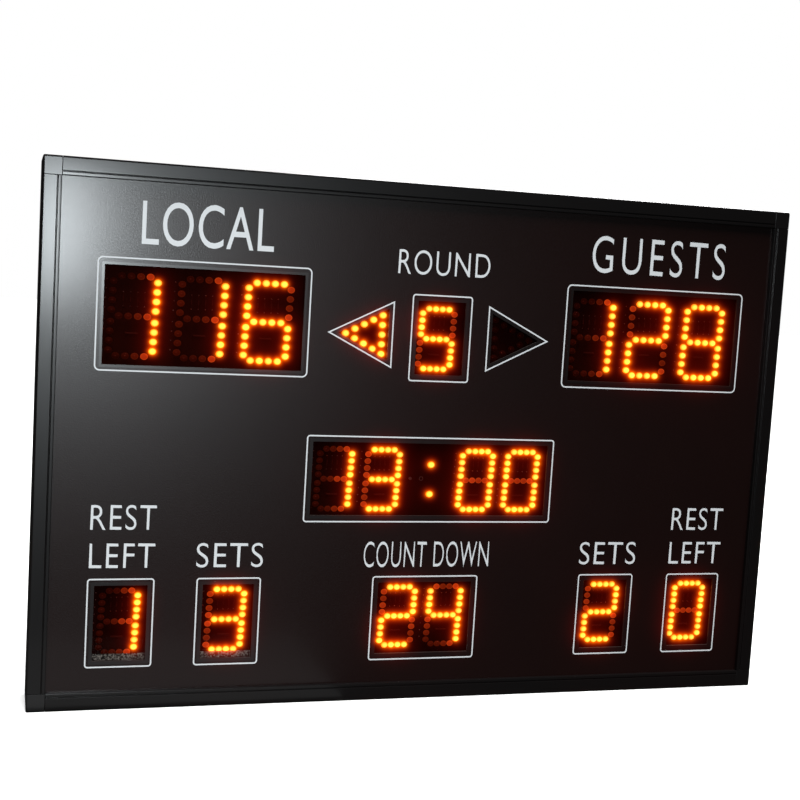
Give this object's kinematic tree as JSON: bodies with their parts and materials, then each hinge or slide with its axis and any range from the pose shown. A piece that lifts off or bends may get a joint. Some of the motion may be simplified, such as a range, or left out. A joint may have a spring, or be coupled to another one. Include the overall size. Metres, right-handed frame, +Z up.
{
  "type": "electronic scoreboard",
  "caption": "Wide flat sports scoreboard: black framed panel with tinted windows over figures of round lights, a rear sheet with service door, inlet, switch and aerial.",
  "frame": {"origin": "middle of the underside of the bottom rail, halfway between the rails' front faces and the hangers' rear faces", "axes": "+X to the right seen from the front, +Y from the front to the rear, +Z up; the figures face -Y"},
  "size_m": [1.2, 0.105, 0.8],
  "materials": {
    "frame_black": "satin black anodised extrusion",
    "cap_black": "satin black moulded plastic",
    "panel_black": "fine-textured satin black film on aluminium sheet",
    "red_tint": "dark red tinted clear sheet",
    "light_board": "dark circuit board with diffused light diodes",
    "galvanised_steel": "galvanised sheet steel",
    "rear_black": "powder-coated sheet steel",
    "bright_steel": "zinc-plated steel",
    "circuit_green": "green solder mask",
    "plastic_black": "black moulded plastic",
    "lead_black": "black cable jacket",
    "ribbon_grey": "grey flat ribbon cable",
    "brass": "plated brass"
  },
  "bodies": {
    "board": {"aerial_lead": "lead_black", "aerial_socket": "brass", "bottom_rail": "frame_black", "clock_lens": "red_tint", "clock_lights": "light_board", "control_board": "circuit_green", "door_hinge": "bright_steel", "door_hinge_pin": "bright_steel", "front_panel": "panel_black", "horn_lead": "lead_black", "inlet_lead": "lead_black", "left_arrow_lens": "red_tint", "left_arrow_lights": "light_board", "left_foul_lens": "red_tint", "left_foul_lights": "light_board", "left_hanger": "galvanised_steel", "left_rail": "frame_black", "left_score_lens": "red_tint", "left_score_lights": "light_board", "left_timeout_lens": "red_tint", "left_timeout_lights": "light_board", "low_voltage_lead": "lead_black", "lower_cross_rail": "galvanised_steel", "lower_left_cap": "cap_black", "lower_right_cap": "cap_black", "mains_inlet": "plastic_black", "mains_lead": "lead_black", "period_horn": "plastic_black", "period_lens": "red_tint", "period_lights": "light_board", "power_supply": "galvanised_steel", "radio_receiver": "plastic_black", "rear_sheet": "rear_black", "receiver_lead": "lead_black", "ribbon_loom": "ribbon_grey", "right_arrow_lens": "red_tint", "right_arrow_lights": "light_board", "right_foul_lens": "red_tint", "right_foul_lights": "light_board", "right_hanger": "galvanised_steel", "right_rail": "frame_black", "right_score_lens": "red_tint", "right_score_lights": "light_board", "right_timeout_lens": "red_tint", "right_timeout_lights": "light_board", "shot_clock_lens": "red_tint", "shot_clock_lights": "light_board", "switch_housing": "plastic_black", "top_rail": "frame_black", "upper_cross_rail": "galvanised_steel", "upper_left_cap": "cap_black", "upper_right_cap": "cap_black"},
    "door": {"service_door": "rear_black"},
    "lower_latch": {"lower_latch": "bright_steel"},
    "upper_latch": {"upper_latch": "bright_steel"},
    "rocker": {"switch_rocker": "plastic_black"},
    "drawer": {"fuse_drawer": "plastic_black"},
    "aerial_knuckle": {"aerial_knuckle": "plastic_black"},
    "aerial_whip": {"aerial_whip": "plastic_black"}
  },
  "joints": [
    {"name": "door_hinge", "type": "hinge", "parent": "board", "child": "door", "pos_m": [-0.2484, 0.0383, 0.35], "axis": [0, 0, 1], "range_deg": [0, 110]},
    {"name": "lower_latch_turn", "type": "hinge", "parent": "door", "child": "lower_latch", "pos_m": [0.219, 0.0365, 0.272], "axis": [0, -1, 0], "range_deg": [0, 90]},
    {"name": "upper_latch_turn", "type": "hinge", "parent": "door", "child": "upper_latch", "pos_m": [0.219, 0.0365, 0.428], "axis": [0, -1, 0], "range_deg": [0, 90]},
    {"name": "rocker_tip", "type": "hinge", "parent": "board", "child": "rocker", "pos_m": [-0.245, 0.0336, 0.112], "axis": [1, 0, 0], "range_deg": [-16, 0]},
    {"name": "drawer_slide", "type": "slide", "parent": "board", "child": "drawer", "axis": [0, 1, 0], "range_m": [0, 0.015]},
    {"name": "aerial_swivel", "type": "hinge", "parent": "board", "child": "aerial_knuckle", "pos_m": [0.33, 0.0425, 0.6], "axis": [0, 1, 0], "range_deg": [-170, 170]},
    {"name": "aerial_tilt", "type": "hinge", "parent": "aerial_knuckle", "child": "aerial_whip", "pos_m": [0.33, 0.0463, 0.6], "axis": [1, 0, 0], "range_deg": [-90, 0]}
  ]
}
